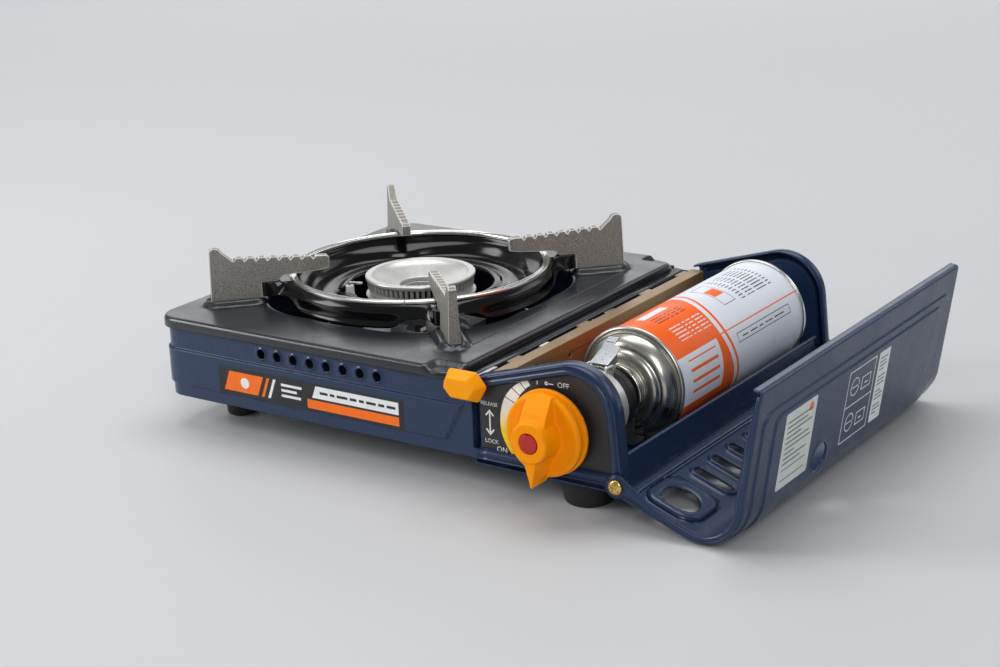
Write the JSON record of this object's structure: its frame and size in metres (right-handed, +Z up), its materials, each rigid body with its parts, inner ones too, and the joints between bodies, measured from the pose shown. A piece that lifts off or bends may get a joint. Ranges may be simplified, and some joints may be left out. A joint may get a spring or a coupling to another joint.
{
  "type": "butane cassette stove",
  "caption": "Portable butane gas stove with a round burner, toothed pan supports, a side canister bay and a hinged lid shown open.",
  "frame": {"origin": "on the table, under the middle of the box round the whole object with its lid open", "axes": "+Z up, +Y towards the back of the stove, +X towards the canister and lid"},
  "size_m": [0.424, 0.2871, 0.1084],
  "materials": {
    "navy_paint": "satin",
    "grey_paint": "satin",
    "black_enamel": "gloss",
    "plate_steel": "satin",
    "gold_steel": "satin",
    "polished_steel": "polished",
    "cast_grey": "rough",
    "cast_aluminium": "rough",
    "black_rubber": "matt",
    "black_plastic": "matt",
    "black_plate": "satin",
    "orange_plastic": "satin",
    "red_plastic": "gloss",
    "white_ceramic": "matt",
    "lead_sleeve": "matt",
    "brass": "satin",
    "gold_screw": "polished",
    "printed_can": "gloss"
  },
  "bodies": {
    "case": {"base_case": "navy_paint", "bottom_plate": "plate_steel", "compartment_floor": "navy_paint", "canister_rail": "navy_paint", "heat_shield": "gold_steel", "shield_clips": "polished_steel", "top_plate": "grey_paint", "front_bulkhead": "navy_paint", "rear_bulkhead": "navy_paint", "control_plate": "black_plate", "foot_front_left": "black_rubber", "foot_front_right": "black_rubber", "foot_rear_left": "black_rubber", "foot_rear_right": "black_rubber", "foot_screws": "plate_steel", "burner_bracket": "plate_steel", "burner_base": "cast_aluminium", "burner_head": "cast_aluminium", "mixing_tube": "plate_steel", "gas_jet": "brass", "igniter_electrode": "white_ceramic", "electrode_pin": "plate_steel", "igniter_lead": "lead_sleeve", "piezo_igniter": "black_plastic", "regulator_body": "cast_aluminium", "regulator_cover": "plate_steel", "regulator_bracket": "plate_steel", "canister_socket": "black_plastic", "latch_pin": "polished_steel", "latch_spring": "polished_steel", "hinge_screws": "gold_screw"},
    "knob": {"knob": "orange_plastic", "knob_plug": "red_plastic", "knob_spindle": "plate_steel"},
    "lock_lever": {"lock_lever": "orange_plastic", "lever_plate": "plate_steel"},
    "holder": {"lever_link": "plate_steel", "canister_holder": "plate_steel"},
    "canister": {"canister_body": "printed_can", "canister_dome": "polished_steel", "canister_base": "polished_steel", "canister_valve": "brass"},
    "latch_tab": {"latch_tab": "plate_steel"},
    "pan_unit": {"drip_pan": "black_enamel", "pan_rim_ring": "polished_steel", "prong_front_left": "cast_grey", "prong_front_right": "cast_grey", "prong_rear_left": "cast_grey", "prong_rear_right": "cast_grey", "prong_rivets": "polished_steel"},
    "lid": {"lid": "navy_paint"}
  },
  "joints": [
    {"name": "knob_turn", "type": "hinge", "parent": "case", "child": "knob", "pos_m": [0.08366, -0.1304, 0.0482], "axis": [0, -1, 0], "range_deg": [0, 115]},
    {"name": "lever_slide", "type": "slide", "parent": "case", "child": "lock_lever", "axis": [0, 0, -1], "range_m": [0, 0.024]},
    {"name": "holder_slide", "type": "slide", "parent": "case", "child": "holder", "axis": [0, -1, 0], "range_m": [0, 0.004]},
    {"name": "canister_lift", "type": "slide", "parent": "holder", "child": "canister", "axis": [0, 0.7071, 0.7071], "range_m": [0, 0.018]},
    {"name": "latch_tip", "type": "hinge", "parent": "case", "child": "latch_tab", "pos_m": [0.08896, -0.0754, 0.0722], "axis": [1, 0, 0], "range_deg": [0, 20], "stiffness_Nm_per_rad": 0.003, "springref_deg": -17.19},
    {"name": "pan_lift", "type": "slide", "parent": "case", "child": "pan_unit", "axis": [0, 0, 1], "range_m": [0, 0.03]},
    {"name": "lid_hinge", "type": "hinge", "parent": "case", "child": "lid", "pos_m": [0.12516, 0.0096, 0.024], "axis": [0, 1, 0], "range_deg": [-115.5, 0]}
  ],
  "couplings": [
    {"joint": "holder_slide", "follows": "lever_slide", "ratio": 0.16667}
  ]
}
